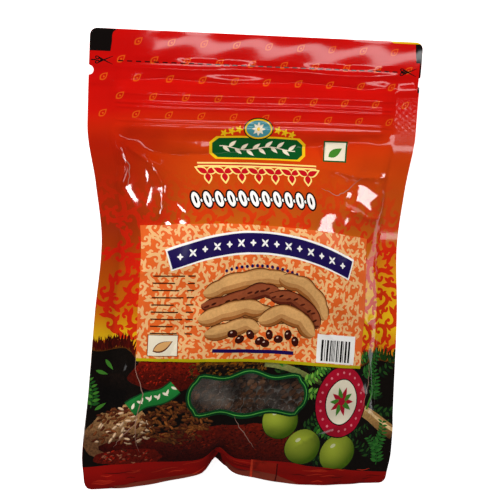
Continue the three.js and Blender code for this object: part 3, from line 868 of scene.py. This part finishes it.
SEAM_COLS = [side * (SEAL_LINE + d) for side in (-1, 1) for d in (-0.9, 0, 0.9)]
END_ROWS = [197.6, 198.4, 199.2, 199.7, LENGTH]
NUDGE = 1e-3
print_cols = merged(np.linspace(-HALF, HALF, 93)[1:-1] + NUDGE, SEAM_COLS)
print_rows = 2 * NUDGE + merged(
    np.arange(1.3, 159, 1.62), np.arange(159, 176, 0.48), np.arange(176.6, 180, 0.8),
    np.arange(180.3, 184.8, 0.4), np.arange(185.6, 199.8, 1.3),
)
fine_cols = merged(np.linspace(-HALF, HALF, 90), SEAM_COLS)
fine_rows = merged(
    [0, 0.3, 0.8, 1.6, 2.4], np.linspace(3.2, 180, 110), np.arange(180.2, 185, 0.35),
    np.linspace(185.5, 197, 8), END_ROWS,
)
side_rows = np.concatenate([
    [0, 0.3, 0.8, 1.6, 2.4, 3.2], np.linspace(4, 179.8, 120), np.arange(180.2, 185, 0.3),
    np.linspace(185.5, 196.8, 9), END_ROWS,
])
right_side = np.stack([np.full(len(side_rows), HALF), side_rows], 1)
end_cols = np.linspace(HALF, -HALF, 90)[1:-1]
top_side = np.stack([end_cols, np.full(len(end_cols), LENGTH)], 1)
outline = np.concatenate([right_side, top_side, (right_side * [-1, 1])[::-1], top_side[::-1] * [1, 0]])

# Front film: the print with the window cut out, and the clear window
flat, tris, top = triangulate(front_shapes, print_cols, print_rows, outline)
corner = flat[tris]
colours, grain = painted(front_shapes, corner, top, ground(corner[..., 0], corner[..., 1]))
in_window = top == WINDOW


def film_piece(name, keep, lift=0.0):
    used, faces = np.unique(tris[keep], return_inverse=True)
    x, v = flat[used].T
    points, normals = front_point(x, v, lift), normals_of(front_point, x, v)
    return mesh_piece(name, points, faces.reshape(-1, 3), normals, colours[keep], grain[keep])


front_print = film_piece("front_print", ~in_window)
front_print.data.materials.append(ink_material("printed_film_ink", 0.5, 0.9, 0.07))
window_film = film_piece("window_film", in_window, -0.05)
mat, tree, shader = material("window_clear_film", ink(190, 178, 166), 0.25, 0.8, 0.08)
haze = span(tree, noise(tree, 90, 1), 0.4, 0.75, 0.02, 0.2)
tree.links.new(haze, shader.inputs["Alpha"])
bump(tree, shader, noise(tree, 260, 3), 0.7, 0.0005)
window_film.data.materials.append(mat)


def grid_faces(rows, cols, flip):
    faces = []
    for i in range(rows - 1):
        for j in range(cols - 1):
            quad = [i * cols + j, i * cols + j + 1, (i + 1) * cols + j + 1, (i + 1) * cols + j]
            faces.append(quad[::-1] if flip else quad)
    return np.array(faces)


def inner_face(name, point, mat, lift, flip=False, hole=None):
    """Inner face of a film, as a grid that may be open where hole(x, v) is true."""
    x, v = (part.ravel() for part in np.meshgrid(fine_cols, fine_rows))
    faces = grid_faces(len(fine_rows), len(fine_cols), flip)
    if hole:
        faces = faces[~hole(x[faces].mean(1), v[faces].mean(1))]
    piece = mesh_piece(name, point(x, v, lift), faces, normals_of(point, x, v) * (-1 if flip else 1))
    piece.data.materials.append(mat)
    return piece


def at_window(x, v):
    return (np.abs(x - WINDOW_X) < 29) & (v > 33) & (v < 56)


# Pale inner faces of the films, stained by the print near the bottom edge, and open at the window
liner_mat, tree, shader = material("liner_film", ink(196, 186, 176), 0.35, 0.4, 0.2)
position = tree.nodes.new("ShaderNodeSeparateXYZ")
tree.links.new(object_place(tree), position.inputs[0])
near_edge = span(tree, position.outputs["Y"], -0.080, -0.074, 1, 0)
pale = mixed(tree, noise(tree, 90), ink(176, 164, 152), ink(214, 206, 198))
tree.links.new(mixed(tree, near_edge, pale, ink(96, 12, 8)), shader.inputs["Base Color"])
bump(tree, shader, noise(tree, 200), 0.3, 0.0004)
front_liner = inner_face("front_liner", front_point, liner_mat, lift=-0.4, flip=True, hole=at_window)

# Back film: scrolls on the ground, a dark foot and the red band
back_rows = 2 * NUDGE + merged(
    np.arange(1.3, 180, 2.2), np.arange(180.3, 184.8, 0.4), np.arange(186, 199.8, 2.2),
)
scrolls = front_shapes[:scroll_count]
flat, tris, top = triangulate(scrolls, print_cols[::2], back_rows, outline)
corner = flat[tris]
colours, grain = painted(scrolls, corner, top, ground(corner[..., 0], corner[..., 1]))
for edge, soft, tone in ((60, 4, ink(34, 14, 8)), (10.8, 0.6, ink(126, 6, 3))):
    foot = np.clip((edge - corner[..., 1:]) / soft, 0, 1)
    colours = colours * (1 - foot) + tone * foot
x, v = flat.T
back_normals = -normals_of(back_point, x, v)
back_print = mesh_piece("back_print", back_point(x, v), tris[:, ::-1], back_normals, colours[:, ::-1], grain)
back_print.data.materials.append(ink_material("back_film_ink", 0.5, 0.9, 0.07))
back_liner = inner_face("back_liner", back_point, liner_mat, lift=0.22)

# The print on the sticker
sticker_shapes = []
LEFT, RIGHT, LOW, HIGH = -54.0, 53.3, 59.6, 117.6
ARCH_LOW, ARCH_TOP = 103.2, 110.6
SHELL, SHELL_LIGHT = ink(150, 88, 40), ink(214, 160, 98)
PULP, PULP_LIGHT = ink(84, 30, 16), ink(142, 70, 40)


def stick(loop, tone, grain=0.0):
    sticker_shapes.append((np.asarray(loop, float), tone, grain))


def past_right(x, v):
    return x >= RIGHT - 1


for loop in scroll_field(LEFT + 2, LOW + 1.8, 12, 19, 5.8, 4.9, 0.5, (2.9, 3.4), past_right):
    stick(loop, ink(234, 178, 118))


def arch(half, width):
    t = np.linspace(-1, 1, 40)
    return stroke(np.stack([1 + half * t, ARCH_TOP - (ARCH_TOP - ARCH_LOW) * t**2], 1), width)


# Strip along the bottom, arch with stars, and a row of dots under it
stick(block(LEFT, LOW, RIGHT, LOW + 1.3), ink(176, 160, 12))
stick(arch(43.5, 9.4), WHITE)
stick(arch(42.8, 7.8), NAVY)
for k, at in enumerate(np.linspace(-0.9, 0.9, 15)):
    reach, tilt = (2.2, 0.78) if k % 2 else (1.4, 0)
    for quarter in range(4):
        star = (1 + 42.8 * at, ARCH_TOP - 7.4 * at**2)
        stick(petal(*star, reach, 0.9, quarter * math.pi / 2 + tilt), WHITE)
for k in range(15):
    at = -1 + k / 7
    stick(oval(16.5 * at, 101.2 - 2.6 * at**2, 0.75, 0.75, 0, 8), NAVY)
# Plain bars in two columns
for k in range(9):
    v = 96.6 - k * 3.1
    stick(block(-48.5, v - 0.3, -48.5 + (13.5, 9.5, 11.5)[k % 3], v + 0.3), BROWN * 0.4)
    stick(block(-33.6, v - 0.3, -30.4, v + 0.3), BROWN * 0.4)


def smooth_curve(points, t):
    p = np.asarray(points, float)
    knots = np.linspace(0, 1, len(p))
    line = np.stack([np.interp(t, knots, p[:, 0]), np.interp(t, knots, p[:, 1])], 1)
    for _ in range(5):
        line[1:-1] = (line[:-2] + 2 * line[1:-1] + line[2:]) / 4
    return line


def pod(points, width, beads, dark, light, cracked=False):
    """A curved pod with rounded ends: shell, lit side and, when cracked, the brown pulp's ridges."""
    t = 0.5 - 0.5 * np.cos(np.linspace(0, math.pi, 52))
    line = smooth_curve(points, t)
    beaded = 0.84 + 0.16 * np.abs(np.sin(math.pi * beads * t))
    swell = width * beaded * np.sqrt(np.maximum(0, 1 - np.abs(2 * t - 1) ** 5))
    d = np.gradient(line, axis=0)
    n = np.stack([-d[:, 1], d[:, 0]], 1) / (np.linalg.norm(d, axis=1)[:, None] + 1e-9)
    n *= np.where(n[:, 1:] < 0, -1, 1)
    mid = dark * 0.5 + light * 0.5
    for scale, shift, tone in ((1.1, 0, dark * 0.25), (1.0, 0, dark), (0.8, 0.07, mid), (0.5, 0.16, light)):
        half = swell[:, None] * scale / 2
        off = n * width * shift
        stick(np.concatenate([line + off + n * half, (line + off - n * half)[::-1]]), tone, 0.2)
    for k in range(3 * beads if cracked else 0):
        at = 0.06 + 0.88 * k / (3 * beads - 1)
        x, v = np.interp(at, t, line[:, 0]), np.interp(at, t, line[:, 1])
        lean = 0.5 * math.sin(3.1 * k) + 0.4
        ridge = oval(x, v + 0.7 * math.sin(2.3 * k), width * 0.2, width * 0.07, lean, 10)
        stick(ridge, dark * (0.4 if k % 2 else 0.8), 0.5)


# Pods, with seeds in front of them
a = np.linspace(4.15, 5.25, 7)
bowed = np.stack([6 + 34 * np.cos(a), 106 + 25.5 * np.sin(a)], 1)
pod(bowed, 7.4, 4, SHELL * 0.8, SHELL_LIGHT * 0.85)
pod([(-26, 88), (-16, 93), (0, 96.5), (14, 96)], 7.8, 4, SHELL, SHELL_LIGHT)
pod([(8, 96), (20, 94.5), (28, 88), (31, 80)], 7.6, 4, SHELL, SHELL_LIGHT * 0.95)
pod([(-27, 83), (-14, 85.5), (0, 91), (9, 90)], 6.6, 4, PULP, PULP_LIGHT, True)
pod([(4, 88), (15, 88.5), (25, 83), (28, 76)], 6.4, 3, PULP, PULP_LIGHT, True)
pod([(-28, 77), (-18, 80.5), (-7, 83.5), (2, 82)], 7.6, 3, SHELL, SHELL_LIGHT)
pod([(0, 76.5), (10, 82), (20, 79), (26, 72)], 8.0, 3, SHELL * 0.95, SHELL_LIGHT)
pod([(-25, 71), (-15, 73.5), (-6, 76), (0, 73)], 6.8, 3, SHELL * 0.9, SHELL_LIGHT * 0.9)
for x, v in (
    (-9, 69.5), (-4, 71.6), (0.5, 69), (5, 71.8), (9.5, 70), (14, 72.2), (-12.5, 72), (17.5, 69.6), (3, 68),
):
    stick(oval(x, v, 2.3, 1.75, x, 16), ink(20, 6, 4))
    stick(oval(x, v, 2.05, 1.5, x, 16), ink(58, 18, 12))
    stick(oval(x - 0.5, v + 0.6, 0.55, 0.32, 0.4, 8), ink(214, 180, 160))

# Square with a leaf, plain bar, and white box with lines of random thickness
stick(block(-49.3, 61.9, -36.2, 71.3), BROWN)
stick(block(-49, 62.2, -36.5, 71), CREAM)
stick(petal(-47, 64, 9.5, 4.2, 0.5), BROWN)
stick(petal(-46.6, 64.4, 8.6, 3.2, 0.5), SHELL_LIGHT)
stick(block(-21, 63.6, 17, 65.2), NAVY)
stick(block(28.4, 61.2, 48.8, 74), WHITE)
THIN_LINE = 0.35
x = 30.6
while x < 46.4:
    thick = THIN_LINE * rng.integers(1, 4)
    stick(block(x, 62, x + thick, 71.6), BLACK)
    x += thick + THIN_LINE * rng.integers(1, 3)

# Sticker: its print lies on the film, slightly turned, with a paper edge under its rim
STICKER_LEAN, STICKER_DROP, STICKER_SHEAR = math.radians(-2.2), 2.3, 0.07
PAPER_TOP, PAPER_FOOT = 0.62, 0.02


def askew(x, v):
    """Place on the film of a point of the sticker: its left side is sheared as well as turned."""
    mid_x, mid_v = (LEFT + RIGHT) / 2, (LOW + HIGH) / 2
    dx, dv = x - mid_x, v - mid_v
    dx = dx - STICKER_SHEAR * dv * (0.5 - 0.5 * dx / 54)
    c, s = math.cos(STICKER_LEAN), math.sin(STICKER_LEAN)
    return mid_x + dx * c - dv * s, mid_v - STICKER_DROP + dx * s + dv * c


bottom_rim = np.stack([np.linspace(LEFT, RIGHT, 80), np.full(80, LOW)], 1)
right_rim = np.stack([np.full(44, RIGHT), np.linspace(LOW, HIGH, 46)[1:-1]], 1)
top_rim = np.stack([bottom_rim[::-1, 0], np.full(80, HIGH)], 1)
left_rim = np.stack([np.full(44, LEFT), right_rim[::-1, 1]], 1)
border = np.concatenate([bottom_rim, right_rim, top_rim, left_rim])
sticker_cols = np.arange(LEFT + 1.1, RIGHT - 0.5, 1.3) + NUDGE
sticker_rows = np.arange(LOW + 1.1, HIGH - 0.5, 1.3) + 2 * NUDGE
flat, tris, top = triangulate(sticker_shapes, sticker_cols, sticker_rows, border)
paper = np.broadcast_to(ink(224, 98, 38), tris.shape + (3,)).copy()
colours, grain = painted(sticker_shapes, flat[tris], top, paper)
x, v = askew(*flat.T)
normals = normals_of(front_point, x, v)
sticker = mesh_piece("sticker_print", front_point(x, v) + normals * PAPER_TOP, tris, normals, colours, grain)
sticker.data.materials.append(ink_material("sticker_paper", 0.6, 0.12, 0.3, 1400))

x, v = askew(*border.T)
normals = normals_of(front_point, x, v)
base = front_point(x, v)
count = len(border)
rim_faces = [[i, i + count, (i + 1) % count + count, (i + 1) % count] for i in range(count)]
rim_points = np.concatenate([base + normals * PAPER_TOP, base + normals * PAPER_FOOT])
rim = mesh_piece("sticker_edge", rim_points, rim_faces)
mat, tree, shader = material("paper_edge", ink(226, 210, 186), 0.7)
mottled(tree, shader, 600, ink(206, 186, 158), ink(236, 224, 204))
rim.data.materials.append(mat)


# Carried-over frame nodes: gusset, zipper strips and the fruit
def dress(name, mat, levels=0):
    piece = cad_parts[name]
    piece.data.materials.clear()
    piece.data.materials.append(mat)
    for face in piece.data.polygons:
        face.use_smooth = True
    if levels:
        smooth = piece.modifiers.new("smooth", "SUBSURF")
        smooth.levels = smooth.render_levels = levels
    return piece


mat, tree, shader = material("gusset_clear_film", ink(190, 172, 158), 0.3, 0.8, 0.2)
mottled(tree, shader, 120, ink(150, 96, 84), ink(206, 190, 176))
bump(tree, shader, noise(tree, 240), 0.5, 0.0005)
dress("gusset_film", mat)

mat, tree, shader = material("zipper_strip", ink(232, 228, 220), 0.3, 0.4, 0.2)
mottled(tree, shader, 300, ink(220, 214, 204), ink(240, 238, 232))
bump(tree, shader, noise(tree, 700), 0.2, 0.0002)
dress("zipper_rib", mat)
dress("zipper_groove", mat)

mat, tree, shader = material("tamarind_pulp", ink(52, 22, 12), 0.32, 0.3, 0.25)
patches = span(tree, noise(tree, 110, 4, 0.6), 0.42, 0.66, 0, 1)
dark = mixed(tree, patches, ink(30, 16, 10), ink(128, 78, 44))
strands = span(tree, noise(tree, 70, 2), 0.56, 0.66, 0, 0.7)
tree.links.new(mixed(tree, strands, dark, ink(150, 100, 58)), shader.inputs["Base Color"])
bump(tree, shader, noise(tree, 320, 4), 0.9, 0.0012)
fruit = dress("tamarind", mat, 2)
lumps = bpy.data.textures.new("lumps", "CLOUDS")
lumps.noise_scale = 0.009
lumps.noise_depth = 2
push = fruit.modifiers.new("lumps", "DISPLACE")
push.texture = lumps
push.texture_coords = "LOCAL"
push.strength = 0.0026
push.mid_level = 0.75

for piece, nodes, name in (
    (front_print, ["front_film"], "printed_film"), (window_film, ["front_film"], "clear_film"),
    (front_liner, ["front_film"], "clear_film"), (back_print, ["back_film"], "printed_film"),
    (back_liner, ["back_film"], "clear_film"), (sticker, ["sticker"], "label_paper"),
    (rim, ["sticker"], "label_paper"),
):
    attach(piece, "root")
    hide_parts(*nodes)

# Camera, fitted to the photograph's corners and edges: its turn is an axis times an angle
SENSOR_MM, FOCAL_PX, PHOTO_PX = 36, 1420, 500
CAMERA_TURN = Vector((0.189, 0.2194, -0.0332))
CAMERA_PLACE = Vector((-0.13573, (220.39 + SHIFT_Y) / 1000, 0.60057))
camera_data = bpy.data.cameras.new("camera")
camera = bpy.data.objects.new("camera", camera_data)
scene.collection.objects.link(camera)
camera_data.sensor_width = SENSOR_MM
camera_data.lens = SENSOR_MM * FOCAL_PX / PHOTO_PX
turn = Matrix.Rotation(CAMERA_TURN.length, 3, CAMERA_TURN.normalized())
camera.matrix_world = Matrix.Translation(CAMERA_PLACE) @ turn.transposed().to_4x4()
scene.camera = camera

# Plain pale floor and soft light, in metres
FLOOR_HALF, FLOOR_Z = 3, -0.0003
floor_mesh = bpy.data.meshes.new("floor")
floor_corners = [(x * FLOOR_HALF, y * FLOOR_HALF, FLOOR_Z) for x, y in ((-1, -1), (1, -1), (1, 1), (-1, 1))]
floor_mesh.from_pydata(floor_corners, [], [[0, 1, 2, 3]])
floor = bpy.data.objects.new("floor", floor_mesh)
scene.collection.objects.link(floor)
mat, tree, shader = material("floor_white", (0.95, 0.95, 0.95), 0.9)
shader.inputs["Emission Color"].default_value = (1, 1, 1, 1)
shader.inputs["Emission Strength"].default_value = 0.9
floor_mesh.materials.append(mat)


def softbox(name, at, target, size, power):
    data = bpy.data.lights.new(name, "AREA")
    data.shape = "RECTANGLE"
    data.size, data.size_y = size
    data.energy = power
    lamp = bpy.data.objects.new(name, data)
    scene.collection.objects.link(lamp)
    lamp.location = at
    lamp.rotation_euler = (Vector(target) - Vector(at)).to_track_quat("-Z", "Y").to_euler()


softbox("seal_strip", (0.29, 0.066, 0.90), (0.04, 0.09, 0.0), (0.055, 0.4), 0.42)
softbox("key", (-0.5, 0.42, 1.0), (0, 0.02, 0), (0.2, 0.2), 5.2)
softbox("left_softbox", (-0.75, 0.8, 0.55), (0, 0.05, 0), (0.3, 0.3), 8.6)
softbox("right_fill", (0.85, 0.45, 0.5), (0, 0.05, 0), (0.3, 0.3), 5.4)
world = bpy.data.worlds.new("studio")
world.use_nodes = True
world.node_tree.nodes["Background"].inputs["Color"].default_value = (1, 1, 1, 1)
world.node_tree.nodes["Background"].inputs["Strength"].default_value = 0.06
scene.world = world
scene.view_settings.view_transform = "Standard"
